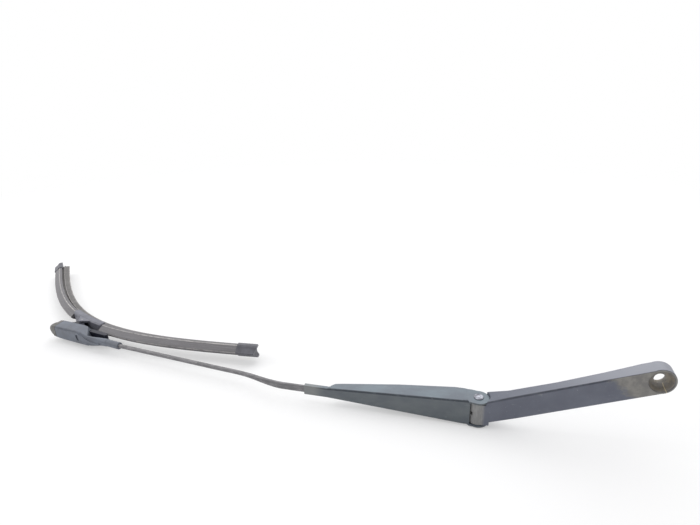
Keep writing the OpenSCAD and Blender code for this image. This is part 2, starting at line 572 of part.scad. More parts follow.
module adapter() color([0.16, 0.17, 0.22]) fitting_frame() {
    front = web_in - adapter_gap;
    end_half = block_half - 1.2;
    difference() {
        union() {
            translate([0, front, 0]) rotate([90, 0, 0]) linear_extrude(front + fit_back + 1)
                polygon([[fit_neck + 2, -block_half + 0.3], [channel_end - 14, -block_half], [channel_end - 5, 0.5 - block_half], [channel_end + 0.5, -end_half],
                    [channel_end + 0.5, end_half], [channel_end - 5, block_half - 0.5], [channel_end - 14, block_half], [fit_neck + 2, block_half - 0.3]]);
            skin([for (t = [0, 0.25, 0.5, 0.7, 0.85, 0.95, 1]) nose_ring(t)]);
            translate([0, 0, -tongue_half_w]) linear_extrude(2 * tongue_half_w) {
                translate([pivot_p, -pivot_q]) circle(r = tongue_hub_r, $fn = round_fn);
                polygon([[fit_neck - tail_len + 2, -socket_r - 0.8], [fit_neck + 6, -socket_r - 0.8], [channel_end - 2, -fit_back], [channel_end - 3, -fit_back - 1.6],
                    [pivot_p + 7, -pivot_q + 4.6], [pivot_p + tongue_hub_r * 0.8, -pivot_q - tongue_hub_r * 0.6], [pivot_p - tongue_hub_r * 0.8, -pivot_q - tongue_hub_r * 0.6],
                    [pivot_p - 8, -pivot_q + 4.6], [fit_neck + 10, -fit_back - 1.9], [fit_neck - tail_len + 2, -fit_back - 1.2], [fit_neck - tail_len, -fit_back + 0.8],
                    [fit_neck - tail_len, -socket_r - 2]]);
            }
        }
        translate([pivot_p, -pivot_q, 0]) cylinder(r = pivot_r + run_gap, h = far, center = true, $fn = round_fn);
        translate([window_p - window_w / 2, front - button_travel - 2.4, -window_len / 2]) cube([window_w, far, window_len]);
    }
}

module release_button() color([0.10, 0.10, 0.13]) fitting_frame() {
    g = slide_gap;
    base = web_in - adapter_gap - 2;
    top = fit_front - button_sink;
    translate([window_p - window_w / 2 + g, base, -window_len / 2 + g]) cube([window_w - 2 * g, top - base - 0.4, window_len - 2 * g]);
    translate([window_p - window_w / 2 + g + 0.3, base, -window_len / 2 + g + 0.3]) cube([window_w - 2 * g - 0.6, top - base, window_len - 2 * g - 0.6]);
}

// Blade: pieces swept along the bowed centre line of the rails.
function bow(s) = -bow_deg * tanh(s / bow_len);
half_line = [for (i = 0, x = 0, y = 0; i * table_step <= blade_half + 4; a = bow((i + 0.5) * table_step), x = x + table_step * cos(a), y = y + table_step * sin(a), i = i + 1) [x, y]];
x_table = [for (i = [0:len(half_line) - 1]) [i * table_step, half_line[i][0]]];
y_table = [for (i = [0:len(half_line) - 1]) [i * table_step, half_line[i][1]]];
function blade_ring(s, section) = let (x = sign(s) * lookup(abs(s), x_table), y = lookup(abs(s), y_table), a = bow(s))
    [for (p = section) [x - p[0] * sin(a), y + p[0] * cos(a), p[1]]];
module along_blade(s0, s1, n, section) skin([for (i = [0:n]) blade_ring(mix(s0, s1, i / n), section)]);
function mirrored(half) = concat(half, [for (i = [len(half) - 1:-1:0]) [half[i][0], -half[i][1]]]);

groove = rail_t / 2 + soft_gap;
rail_section = [[rail_t / 2, rail_in], [rail_t / 2, rail_out], [-rail_t / 2, rail_out], [-rail_t / 2, rail_in]];
lower_section = [for (i = [3:-1:0]) [rail_section[i][0], -rail_section[i][1]]];
rubber_section = mirrored([[groove + 1, 3], [groove, 3], [groove, rubber_web], [-groove, rubber_web], [-groove, 3], [-1.9, 3], [-2.3, 0.6],
    [-3.6, 0.6], [-3.9, 2.3], [-4.8, 2.2], [-5.6, 0.9], [-lip_depth, 0.4]]);
inside_section = [[-1.6, 3 + soft_gap + 0.3], [-groove, 3 + soft_gap + 0.3], [-groove, rail_out + soft_gap], [groove, rail_out + soft_gap],
    [groove, 3 + soft_gap], [groove + 1 + soft_gap, 3 + soft_gap]];
function outside_section(g) = let (w = spoiler_half_w + g, h = fin_h + g) [[-1.6 - g, -w], [1.4, -w], [2.4 + g, -w + 1.6], [0.6 * h, -2.4 - g / 2],
    [0.86 * h, -0.9], [h, 0.1], [h, 1.4], [0.78 * h, 2.2 + g / 2], [0.52 * h, 3.6 + g / 2], [2.4 + g, w - 1], [1.4, w], [-1.6 - g, w]];
function open_section(g) = concat(outside_section(g), [[edge_bevel - 1.6 - g, inside_section[0][1]]], [for (i = [1:5]) inside_section[i]],
    [for (i = [5:-1:1]) [inside_section[i][0], -inside_section[i][1]]], [[edge_bevel - 1.6 - g, -inside_section[0][1]]]);

module rail_upper() color([0.45, 0.45, 0.46]) blade_frame() along_blade(-rail_end, rail_end, 36, rail_section);
module rail_lower() color([0.45, 0.45, 0.46]) blade_frame() along_blade(-rail_end, rail_end, 36, lower_section);
module squeegee() color([0.08, 0.08, 0.08]) blade_frame() along_blade(-rail_end, rail_end, 32, rubber_section);
module spoiler_tip_side() color([0.17, 0.17, 0.17]) blade_frame() along_blade(conn_half + slide_gap, cap_s - slide_gap, 16, open_section(0));
module spoiler_arm_side() color([0.17, 0.17, 0.17]) blade_frame() along_blade(slide_gap - cap_s, -slide_gap - conn_half, 16, open_section(0));

slot_outline = concat([for (i = [1:5]) [inside_section[i][0], -inside_section[i][1]]], [for (i = [5:-1:1]) inside_section[i]],
    [[-9, inside_section[0][1] + 0.3], [-9, -inside_section[0][1] - 0.3]]);
function place(s) = let (a = bow(s), x = lookup(s, x_table), y = lookup(s, y_table))
    [[cos(a), -sin(a), 0, x], [sin(a), cos(a), 0, y], [0, 0, 1, 0], [0, 0, 0, 1]];
module end_cap() {
    difference() {
        along_blade(cap_s, blade_half, 4, outside_section(cap_proud));
        multmatrix(place(blade_half - cap_len / 2)) translate([-cap_len, 0, 0]) rotate([90, 0, 90])
            linear_extrude(1.5 * cap_len - cap_plate) polygon(slot_outline);
        // Hollow of the outer end, seen as a notch between its two corners.
        multmatrix(place(blade_half)) translate([5.2, 0, 0]) rotate([90, 0, 0]) cylinder(r = 7, h = far, center = true, $fn = 96);
    }
}
module end_cap_tip() color([0.14, 0.14, 0.15]) blade_frame() end_cap();
module end_cap_arm() color([0.14, 0.14, 0.15]) blade_frame() mirror([1, 0, 0]) end_cap();

// Connector: grips the rails and carries the pivot pin between two lugs.
conn_section = mirrored([[4.2, conn_half_w - 1.4], [2.8, conn_half_w], [-2.2, conn_half_w], [-2.5, conn_half_w - 0.5], [-2.5, 3.4], [-groove, 3.4],
    [-groove, rail_out + 0.1], [groove, rail_out + 0.1], [groove, 3 + soft_gap], [groove + 1 + soft_gap, 3 + soft_gap]]);
lug_in = tongue_half_w + 0.2;

module blade_connector() color([0.30, 0.31, 0.33]) blade_frame() {
    difference() {
        union() {
            skin([for (s = [-conn_half, -conn_half + 1.5, -18, -9, 0, 9, 18, conn_half - 1.5, conn_half])
                blade_ring(s, [for (p = conn_section) abs(s) == conn_half ? [p[0] > 2 ? p[0] - 0.8 : p[0], p[1] * (abs(p[1]) > rail_out + 1 ? 0.93 : 1)] : p])]);
            both_sides() translate([0, 0, lug_in]) linear_extrude(conn_half_w - 0.5 - lug_in) {
                translate([0, pivot_n]) circle(r = 3.8, $fn = round_fn);
                polygon([[-11, 2.5], [11, 2.5], [10, 4.6], [3.4, pivot_n + 1.7], [-3.4, pivot_n + 1.7], [-10, 4.6]]);
            }
        }
        translate([0, pivot_n, 0]) {
            cylinder(r = tongue_hub_r + slide_gap, h = 2 * lug_in, center = true, $fn = round_fn);
            cylinder(r = pivot_r + seat_gap, h = far, center = true, $fn = round_fn);
        }
    }
}

module blade_pivot_pin() color([0.55, 0.55, 0.56]) blade_frame() translate([0, pivot_n, 0])
    cylinder(r = pivot_r, h = 2 * (conn_half_w - 0.4), center = true, $fn = round_fn);

arm_head();
hinge_rivet();
hinge_bush_upper();
hinge_bush_lower();
retainer();
rod();
tension_spring();
spring_link();
spring_pin();
end_fitting();
adapter();
release_button();
blade_connector();
blade_pivot_pin();
rail_upper();
rail_lower();
spoiler_tip_side();
spoiler_arm_side();
squeegee();
end_cap_tip();
end_cap_arm();
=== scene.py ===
"""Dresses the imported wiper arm: finished surfaces, weathered materials, a pale stage and the camera."""

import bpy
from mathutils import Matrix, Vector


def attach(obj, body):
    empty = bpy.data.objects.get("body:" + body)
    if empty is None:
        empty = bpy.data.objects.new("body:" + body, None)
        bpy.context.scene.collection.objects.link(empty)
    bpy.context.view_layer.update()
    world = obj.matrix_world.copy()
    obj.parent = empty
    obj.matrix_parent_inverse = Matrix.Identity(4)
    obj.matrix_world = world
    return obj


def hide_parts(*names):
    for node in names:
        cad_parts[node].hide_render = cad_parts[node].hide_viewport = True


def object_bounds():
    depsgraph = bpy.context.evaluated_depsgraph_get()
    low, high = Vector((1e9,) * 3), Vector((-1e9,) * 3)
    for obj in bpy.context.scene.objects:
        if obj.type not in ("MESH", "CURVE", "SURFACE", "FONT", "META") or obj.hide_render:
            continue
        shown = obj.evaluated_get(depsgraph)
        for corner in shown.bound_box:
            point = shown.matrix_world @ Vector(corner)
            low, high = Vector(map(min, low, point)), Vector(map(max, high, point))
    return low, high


bl_info = {
    "name": "Wiper arm",
    "version": (1, 0, 0),
    "blender": (4, 5, 0),
    "location": "3D View > Sidebar > Wiper arm",
    "description": "Builds the finished surfaces and materials of a windscreen wiper arm",
    "category": "Object",
}

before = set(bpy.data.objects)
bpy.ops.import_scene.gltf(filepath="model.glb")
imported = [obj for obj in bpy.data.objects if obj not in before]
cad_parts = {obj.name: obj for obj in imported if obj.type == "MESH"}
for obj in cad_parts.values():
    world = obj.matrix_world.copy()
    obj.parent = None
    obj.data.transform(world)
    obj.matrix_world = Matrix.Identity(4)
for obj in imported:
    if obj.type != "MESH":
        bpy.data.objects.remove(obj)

import math

import bmesh
import bpy
import numpy as np
from mathutils import Matrix, Vector

MM = 0.001
CAD_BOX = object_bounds()

# Sizes that the source of the solids gives, in millimetres and degrees. U runs along the arm from the
# hinge, and V outwards from it, away from the glass. P and Q do the same for the end fitting.
HINGE = np.array([-128.0, 0.0, -46.2])
ARM_DEG = 177.0
FACE_Y = 7.3
SHEET = 1.1
KNUCKLE_R, KNUCKLE_HALF, RECESS_R = 8.0, 9.9, 9.2
FLAT_T, ROUND_D, ROD_PLAY = 2.6, 4.2, 0.02
ROD_V = FACE_Y - SHEET - ROD_PLAY - FLAT_T / 2
CRANK_U, CRANK_LEN, CRANK_DEG = 178.0, 35.0, 14.5
ROD_LEN, ROD_DEG = 153.0, 6.8
CRANK_END = CRANK_U + CRANK_LEN
CRANK_V = ROD_V - CRANK_LEN * math.tan(math.radians(CRANK_DEG))
SOCKET_U = CRANK_END + ROD_LEN
SOCKET_V = CRANK_V - ROD_LEN * math.tan(math.radians(ROD_DEG))
SOCKET_HOLD = 14.0
FITTING_DEG, FITTING_NECK, CHANNEL_END = 9.5, 44.0, 97.0
SPRING_U, SPRING_V = 85.0, 1.0
PIN_X, PIN_Y, LINK_LEN = 4.8, 4.0, 16.9
HOOK_LEN, COIL_R, COIL_PITCH, WIRE_R = 10.0, 3.4, 2.4, 0.7
PIVOT_P, PIVOT_Q, PIVOT_N, SWING_DEG = 76.5, 18.5, 7.0, 12.3
BOW_DEG, BOW_LEN = 27.8, 118.0
BLADE_HALF, CAP_LEN, CONN_HALF = 220.0, 21.0, 29.0

# Sizes that only the finished pieces have, in millimetres: where the retainer's neck widens, over what
# length and by what share; how far the fitting's shoulder is swept and over what length; and where the
# nose's dark line and its own faces start along the fitting.
NECK_FROM, NECK_RISE, NECK_WIDER = 112.0, 16.0, 0.22
SHOULDER_SWEEP, SHOULDER_LEN = 9.0, 14.0
NOSE_SEAM, NOSE_FACES = 91.8, CHANNEL_END - 5


def linear(code):
    """Turns an sRGB hex value into linear red, green, blue and one for alpha."""
    parts = [int(code[i:i + 2], 16) / 255 for i in (0, 2, 4)]
    return [c / 12.92 if c <= 0.04045 else ((c + 0.055) / 1.055) ** 2.4 for c in parts] + [1.0]


def ease(x):
    """Rises smoothly from 0 to 1: x held between 0 and 1, then 3 x squared - 2 x cubed."""
    x = np.clip(x, 0, 1)
    return x * x * (3 - 2 * x)


# Frames of the arm, of its end fitting and of the blade.

def turned(points, degrees):
    """Turns points about the third axis: x cos - y sin, x sin + y cos, the third unchanged."""
    a = math.radians(degrees)
    x, y, z = points[..., 0], points[..., 1], points[..., 2]
    return np.stack([x * math.cos(a) - y * math.sin(a), x * math.sin(a) + y * math.cos(a), z], -1)


def from_arm(points):
    """Arm frame (along, outwards, across) to the part's: turned by the arm's angle, moved to the hinge."""
    return turned(np.asarray(points, float), ARM_DEG) + HINGE


def from_fitting(points):
    """Fitting frame to the part's frame: turned towards the glass, moved to the socket's mouth."""
    return from_arm(turned(np.asarray(points, float), -FITTING_DEG) + [SOCKET_U, SOCKET_V, 0.0])


def from_blade(points):
    """Blade frame to the part's frame: lowered from the pivot, swung, and moved to the pivot."""
    p = np.asarray(points, float) - [0.0, PIVOT_N, 0.0]
    return from_fitting(turned(p, -SWING_DEG) + [PIVOT_P, -PIVOT_Q, 0.0])


FITTING_START = from_fitting([0.0, 0.0, 0.0])
FITTING_AXIS = from_fitting([1.0, 0.0, 0.0]) - FITTING_START


def bow(s):
    """Angle of the rails at s: minus the bow angle times the hyperbolic tangent of s over its length."""
    return -math.radians(BOW_DEG) * np.tanh(s / BOW_LEN)


def on_blade(s, n, z):
    """Point at s along the rails, n away from the glass and z across: the running sum of the bow's
    cosine and sine gives the rails, and n is laid off square to them."""
    fine = np.linspace(0.0, BLADE_HALF + 6, 453)
    mid = bow((fine[1:] + fine[:-1]) / 2)
    x = np.concatenate([[0.0], np.cumsum(np.cos(mid) * np.diff(fine))])
    y = np.concatenate([[0.0], np.cumsum(np.sin(mid) * np.diff(fine))])
    s, n, z = np.broadcast_arrays(s, n, z)
    px = np.sign(s) * np.interp(np.abs(s), fine, x)
    py = np.interp(np.abs(s), fine, y)
    a = bow(s)
    return from_blade(np.stack([px - n * np.sin(a), py + n * np.cos(a), z], -1))


# Meshes.

def add_piece(name, points, faces, body, material, stands_for, crease_deg=38.0, uv=None):
    """Makes a mesh object at the origin from points in millimetres and lists of corners, smooth but
    for edges sharper than the crease angle, and ties it to its body and its node."""
    mesh = bpy.data.meshes.new(name)
    mesh.from_pydata((np.asarray(points).reshape(-1, 3) * MM).tolist(), [], faces)
    mesh.validate()
    if uv is not None:
        layer = mesh.uv_layers.new(name="along")
        corner = np.empty(len(mesh.loops), np.int32)
        mesh.loops.foreach_get("vertex_index", corner)
        layer.data.foreach_set("uv", np.asarray(uv, np.float32).reshape(-1, 2)[corner].ravel())
    return finish_piece(name, mesh, body, [material], stands_for, crease_deg)


def finish_piece(name, mesh, body, materials, stands_for, crease_deg):
    """Shades the mesh, gives it its materials and ties the object to the frame."""
    mesh.polygons.foreach_set("use_smooth", np.ones(len(mesh.polygons), bool))
    mesh.set_sharp_from_angle(angle=math.radians(crease_deg))
    for material in materials:
        mesh.materials.append(material)
    piece = bpy.data.objects.new(name, mesh)
    bpy.context.scene.collection.objects.link(piece)
    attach(piece, body)
    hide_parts(stands_for)
    return piece


def carried(rings):
    """Faces of a grid of closed rings: four corners between neighbours, and one face at each end."""
    k, m = rings.shape[:2]
    i, j = np.meshgrid(np.arange(k - 1), np.arange(m), indexing="ij")
    a, b = i * m + j, i * m + (j + 1) % m
    sides = np.stack([a, a + m, b + m, b], -1).reshape(-1, 4)[:, ::-1].tolist()
    return sides + [list(range(m))[::-1], list(range((k - 1) * m, k * m))]


def headings(line):
    """Unit direction of a line at each of its points, from its neighbours."""
    along = np.gradient(line, axis=0)
    return along / np.linalg.norm(along, axis=1)[:, None]


def wire(path, radius, sides):
    """Round wire: a circle set square to the path at each of its points. Each circle's first direction
    is the one before it, less its part along the path, so the wire doesn't twist."""
    along = headings(path)
    side = np.zeros_like(path)
    side[0] = np.cross(along[0], [0.0, 0.0, 1.0])
    for i in range(1, len(path)):
        side[i] = side[i - 1] - along[i] * np.dot(side[i - 1], along[i])
    side /= np.linalg.norm(side, axis=1)[:, None]
    up = np.cross(along, side)
    a = np.linspace(0, 2 * np.pi, sides, endpoint=False)[None, :, None]
    return path[:, None] + radius * (np.cos(a) * side[:, None] + np.sin(a) * up[:, None])


def smooth_path(points, count):
    """Curve through the points: cubic in the chord length, with each inner slope from its neighbours."""
    p = np.asarray(points, float)
    t = np.concatenate([[0.0], np.cumsum(np.linalg.norm(np.diff(p, axis=0), axis=1))])
    slope = np.gradient(p, t, axis=0)
    x = np.linspace(0, t[-1], count)
    i = np.clip(np.searchsorted(t, x, side="right") - 1, 0, len(t) - 2)
    h = t[i + 1] - t[i]
    f = ((x - t[i]) / h)[:, None]
    h = h[:, None]
    return ((2 * f ** 3 - 3 * f ** 2 + 1) * p[i] + (f ** 3 - 2 * f ** 2 + f) * h * slope[i]
            + (3 * f ** 2 - 2 * f ** 3) * p[i + 1] + (f ** 3 - f ** 2) * h * slope[i + 1])


def refined_copy(node, name, body, materials, edge_mm, crease_deg=32.0, split=None, reshape=None):
    """Copy of a node's solid with its triangles merged into flat faces and every sharp edge rounded
    over. The split function gives each face's material from its middle, and the reshape function
    moves all the points at once before the rounding; both work in millimetres."""
    mesh = bpy.data.objects[node].data.copy()
    mesh.name = name
    mesh.materials.clear()
    bm = bmesh.new()
    bm.from_mesh(mesh)
    bmesh.ops.remove_doubles(bm, verts=bm.verts, dist=2e-6)
    bmesh.ops.dissolve_degenerate(bm, edges=bm.edges, dist=1e-6)
    bmesh.ops.dissolve_limit(bm, angle_limit=math.radians(1.0), verts=bm.verts, edges=bm.edges)
    if split:
        for face in bm.faces:
            face.material_index = split(np.array(face.calc_center_median()) / MM)
    bm.to_mesh(mesh)
    bm.free()
    if reshape:
        spots = np.empty(3 * len(mesh.vertices), np.float32)
        mesh.vertices.foreach_get("co", spots)
        moved = reshape(spots.reshape(-1, 3) / MM) * MM
        mesh.vertices.foreach_set("co", moved.astype(np.float32).ravel())
    piece = finish_piece(name, mesh, body, materials, node, crease_deg)
    rounding = piece.modifiers.new("Rounded edges", "BEVEL")
    rounding.width = edge_mm * MM
    rounding.segments = 2
    rounding.limit_method = "ANGLE"
    rounding.angle_limit = math.radians(crease_deg)
    rounding.use_clamp_overlap = True
    rounding.harden_normals = True
    return piece


def dress(node, material):
    """Gives a CAD node its material."""
    slots = bpy.data.objects[node].data.materials
    slots.clear()
    slots.append(material)


# Materials.

def add_node(tree, kind, inputs=None, **settings):
    """Adds a node, sets its options, and gives each named input a value or a link."""
    made = tree.nodes.new(kind)
    for key, value in settings.items():
        setattr(made, key, value)
    for key, value in (inputs or {}).items():
        if isinstance(value, bpy.types.NodeSocket):
            tree.links.new(value, made.inputs[key])
        else:
            made.inputs[key].default_value = value
    return made


def start_material(name, roughness, metallic=0.0):
    """An empty material with one surface shader, and the object's own coordinates in metres."""
    mat = bpy.data.materials.new(name)
    mat.use_nodes = True
    tree = mat.node_tree
    tree.nodes.clear()
    shader = add_node(tree, "ShaderNodeBsdfPrincipled",
                      {"Roughness": roughness, "Metallic": metallic, "IOR": 1.5})
    add_node(tree, "ShaderNodeOutputMaterial", {"Surface": shader.outputs[0]})
    where = add_node(tree, "ShaderNodeTexCoord").outputs["Object"]
    return mat, tree, where


def found(tree, kind):
    """The tree's one node of a kind."""
    return next(node for node in tree.nodes if node.bl_idname == kind)


def close_material(mat, colour, where, grain_mm, depth_mm):
    """Gives the shader its colour and a fine relief of the given grain and depth."""
    tree = mat.node_tree
    shader = found(tree, "ShaderNodeBsdfPrincipled")
    tree.links.new(colour, shader.inputs["Base Color"])
    noise = add_node(tree, "ShaderNodeTexNoise",
                     {"Vector": where, "Scale": 1 / (grain_mm * MM), "Detail": 3.0})
    bump = add_node(tree, "ShaderNodeBump",
                    {"Height": noise.outputs[0], "Distance": depth_mm * MM, "Strength": 0.8})
    tree.links.new(bump.outputs[0], shader.inputs["Normal"])
    return mat


def patches(tree, where, size_mm, low, high, detail=4.0, stretch=None):
    """Cloudy patches of about the given size, from 0 below the low level to 1 above the high level."""
    if stretch is not None:
        where = add_node(tree, "ShaderNodeMapping", {"Vector": where, "Scale": stretch}).outputs[0]
    noise = add_node(tree, "ShaderNodeTexNoise",
                     {"Vector": where, "Scale": 1 / (size_mm * MM), "Detail": detail, "Roughness": 0.6})
    return add_node(tree, "ShaderNodeMapRange",
                    {"Value": noise.outputs[0], "From Min": low, "From Max": high}).outputs[0]


def blend(tree, factor, first, second):
    """Mixes two colours by a factor; each is a hex value, four linear parts or a socket."""
    first, second = (linear(c) if isinstance(c, str) else c for c in (first, second))
    return add_node(tree, "ShaderNodeMix", {0: factor, 6: first, 7: second}, data_type="RGBA").outputs[2]


def maths(tree, operation, first, second=0.0):
    """One sum on two values."""
    return add_node(tree, "ShaderNodeMath", {0: first, 1: second}, operation=operation).outputs[0]


def product(tree, *values):
    """All the values multiplied."""
    result = values[0]
    for value in values[1:]:
        result = maths(tree, "MULTIPLY", result, value)
    return result


def total(tree, *values):
    """All the values added."""
    result = values[0]
    for value in values[1:]:
        result = maths(tree, "ADD", result, value)
    return result


def tint(tree, colour, mask, share, over):
    """Lays a colour over the one so far, by the mask times the share."""
    return blend(tree, product(tree, mask, share), colour, over)


def ramp(tree, value, low, high):
    """Rises smoothly from 0 at the low value to 1 at the high value."""
    return add_node(tree, "ShaderNodeMapRange", {"Value": value, "From Min": low, "From Max": high},
                    interpolation_type="SMOOTHSTEP").outputs[0]


def band(tree, value, centre, outer, inner):
    """1 up to the inner distance from the centre, falling smoothly to 0 at the outer one."""
    off = maths(tree, "ABSOLUTE", maths(tree, "SUBTRACT", value, centre))
    return ramp(tree, off, outer, inner)


def parts_of(tree, vector):
    """The three parts of a vector."""
    return tuple(add_node(tree, "ShaderNodeSeparateXYZ", {"Vector": vector}).outputs)


def facing(tree):
    """The three parts of the direction that the surface faces, in the object's own axes."""
    return parts_of(tree, add_node(tree, "ShaderNodeTexCoord").outputs["Normal"])


def from_axis(tree, first, second):
    """Distance from an axis: the square root of the sum of two squares."""
    squares = total(tree, maths(tree, "POWER", first, 2.0), maths(tree, "POWER", second, 2.0))
    return maths(tree, "SQRT", squares)


def reach_along(tree, where, axis, start):
    """How far a point lies along an axis beyond a start: their dot product less the start."""
    dot = add_node(tree, "ShaderNodeVectorMath", {0: where, 1: tuple(axis)}, operation="DOT_PRODUCT")
    return maths(tree, "SUBTRACT", dot.outputs["Value"], start)


def front_edge(tree):
    """1 on the rounded edge between the top and the outer face, read from the object's own normals:
    the smaller of how far a point faces up and how far it faces outwards."""
    normal = facing(tree)
    outward = maths(tree, "MULTIPLY", normal[1], -1.0)
    return ramp(tree, maths(tree, "MINIMUM", normal[2], outward), 0.14, 0.34)


def painted_dark_edge(tree, where, colour, least, varied, over):
    """Paints a dark reflection on the front edge: by the least share everywhere, and by the varied share
    more in patches.
    """
    dark_edge_patches = patches(tree, where, 4, 0.25, 0.5, 3.0)
    share = total(tree, product(tree, dark_edge_patches, varied), least)
    return tint(tree, colour, front_edge(tree), share, over)


def worn_and_lit_lines(tree, colour, height, broken, core, rows):
    """Lays broken pale lines along the blade, partly chalky wear and partly painted highlight. Each row is
    the height, the half width, the share and the colour, and the line is full over the core's share of its
    width."""
    for centre, width, share, over in rows:
        line = band(tree, height, centre, width, width * core)
        colour = tint(tree, colour, product(tree, line, broken), share, over)
    return colour


def head_paint(base):
    """Satin powder coat on a zinc casting: it has gone chalky, and is rubbed down to a warm grey at
    the spindle end and on the knuckle, where the nut tool and the retainer have worn it."""
    mat, tree, where = start_material("chalky_powder_coat_on_casting", 0.5)
    x, y, z = parts_of(tree, where)
    cloud = patches(tree, where, 22, 0.4, 0.66)
    colour = blend(tree, cloud, base, "676b77")
    # Painted light on the upward faces, stronger towards the spindle, together with chalky paint there.
    lit_top_and_chalk = product(tree, ramp(tree, facing(tree)[2], 0.5, 0.9), ramp(tree, x, -105 * MM, -5 * MM))
    colour = tint(tree, colour, lit_top_and_chalk, 0.75, "9698a1")
    colour = tint(tree, colour, patches(tree, where, 1.3, 0.7, 0.76, 2.0), 0.5, "9a9ba2")
    chips = patches(tree, where, 5.5, 0.68, 0.74, 4.0, (0.5, 1.0, 1.0))
    colour = tint(tree, colour, chips, 0.5, "85868b")
    # Painted dark reflection along the rounded front edge of the head.
    colour = painted_dark_edge(tree, where, colour, 0.5, 0.4, "2e313c")
    # Rubbed patch on the outer face about the spindle: it reaches further along the upper half, with
    # a ragged edge, and leaves the top of the head as it is.
    ragged = patches(tree, where, 7, 0.3, 0.7, 5.0, (1.0, 1.0, 1.8))
    reach = total(tree, x, product(tree, ragged, 12 * MM), product(tree, z, 1.3))
    outer_face = ramp(tree, y, -(FACE_Y - 0.7) * MM, -(FACE_Y - 0.2) * MM)
    rubbed = product(tree, ramp(tree, reach, -36 * MM, -27 * MM), outer_face)
    tone = blend(tree, patches(tree, where, 6, 0.4, 0.6), "73716f", "85837e")
    colour = blend(tree, rubbed, colour, tone)
    # Knuckle: everything close to the hinge axis.
    radius = from_axis(tree, total(tree, x, -HINGE[0] * MM), y)
    height = band(tree, z, HINGE[2] * MM, (KNUCKLE_HALF + 0.9) * MM, (KNUCKLE_HALF - 0.1) * MM)
    near = product(tree, ramp(tree, radius, (KNUCKLE_R + 1.5) * MM, (KNUCKLE_R + 0.2) * MM), height)
    streaks = patches(tree, where, 3.2, 0.35, 0.7, 4.0, (3.0, 3.0, 0.5))
    colour = blend(tree, near, colour, blend(tree, streaks, "7b7b7c", "8f8f8e"))
    # Recess: darker, warmer metal with grease left in it.
    rim = ramp(tree, from_axis(tree, x, z), (RECESS_R + 0.5) * MM, (RECESS_R - 0.4) * MM)
    sunk = product(tree, rim, ramp(tree, y, -(FACE_Y - 0.4) * MM, -(FACE_Y - 1.3) * MM))
    stain = patches(tree, where, 5, 0.4, 0.65)
    colour = blend(tree, sunk, colour, blend(tree, stain, "787572", "90887b"))
    # One bright scratch from the hole over the rim.
    across = maths(tree, "ABSOLUTE", reach_along(tree, where, (0.93, 0.0, 0.37), 0.9 * MM))
    scratch = product(tree, maths(tree, "LESS_THAN", across, 0.22 * MM),
                      maths(tree, "LESS_THAN", z, -3.6 * MM), maths(tree, "LESS_THAN", y, -1.5 * MM))
    colour = blend(tree, scratch, colour, "c9bb98")
    rough = add_node(tree, "ShaderNodeMapRange", {"Value": cloud, "To Min": 0.42, "To Max": 0.56})
    tree.links.new(rough.outputs[0], found(tree, "ShaderNodeBsdfPrincipled").inputs["Roughness"])
    return close_material(mat, colour, where, 0.9, 0.02)


def sheet_paint(base):
    """Satin paint on pressed sheet steel: smooth, with faint clouding, a painted sheen on its upward
    faces, a painted dark reflection along its fold and a neck that is worn pale."""
    mat, tree, where = start_material("satin_paint_on_sheet_steel", 0.45)
    cloud = patches(tree, where, 14, 0.38, 0.62, 3.0, (0.6, 1.0, 1.0))
    face = blend(tree, cloud, base, "61676b")
    # Painted sheen: faces that look up are painted lighter and bluer.
    top = blend(tree, cloud, "636b75", "6d7982")
    colour = blend(tree, ramp(tree, facing(tree)[2], 0.3, 0.8), face, top)
    # Painted dark reflection along the fold between the top and the outer face.
    colour = painted_dark_edge(tree, where, colour, 0.65, 0.3, "272d36")
    worn = ramp(tree, parts_of(tree, where)[0], (HINGE[0] - 130) * MM, (HINGE[0] - 142) * MM)
    colour = tint(tree, colour, worn, 0.55, "90918f")
    scuff = patches(tree, where, 2.6, 0.66, 0.74, 3.0, (0.4, 1.0, 1.0))
    colour = tint(tree, colour, scuff, 0.3, "a0a2a4")
    return close_material(mat, colour, where, 1.6, 0.015)


def fitting_paint(base):
    """Chalked blue-grey paint on a casting: matt, with paler rubbed high spots, and worn brown-grey
    beyond the dark line where its nose begins."""
    mat, tree, where = start_material("chalked_blue_grey_paint", 0.52)
    colour = blend(tree, patches(tree, where, 12, 0.38, 0.64), base, "6c727d")
    colour = tint(tree, colour, patches(tree, where, 1.4, 0.62, 0.74), 0.4, "868b96")
    # Painted dark reflection along the rounded front edge.
    colour = tint(tree, colour, front_edge(tree), 0.25, "3f434d")
    reach = reach_along(tree, where, FITTING_AXIS, float(np.dot(FITTING_START, FITTING_AXIS)) * MM)
    worn = blend(tree, patches(tree, where, 3, 0.4, 0.6), "5b5a56", "747270")
    beyond = ramp(tree, reach, (NOSE_SEAM - 0.3) * MM, (NOSE_SEAM + 0.3) * MM)
    colour = blend(tree, beyond, colour, worn)
    seam = band(tree, reach, NOSE_SEAM * MM, 0.6 * MM, 0.3 * MM)
    colour = blend(tree, seam, colour, "2c2d33")
    return close_material(mat, colour, where, 1.0, 0.03)


def rod_finish():
    """Thin paint on drawn steel rod, worn through in short streaks along its length."""
    mat, tree, where = start_material("worn_paint_on_drawn_rod", 0.42)
    streak = patches(tree, where, 2.4, 0.42, 0.62, 4.0, (0.25, 1.0, 1.0))
    colour = blend(tree, streak, "656467", "7f7d80")
    pale = patches(tree, where, 1.2, 0.64, 0.72, 3.0, (0.5, 1.0, 1.0))
    colour = tint(tree, colour, pale, 0.5, "b4b2ae")
    return close_material(mat, colour, where, 0.8, 0.03)


def dull_steel(name, light="9b9ca0", dark="77777a", roughness=0.38):
    """Plated steel gone dull: grey metal with darker clouds."""
    mat, tree, where = start_material(name, roughness, 0.9)
    colour = blend(tree, patches(tree, where, 4, 0.4, 0.65), light, dark)
    return close_material(mat, colour, where, 0.6, 0.01)


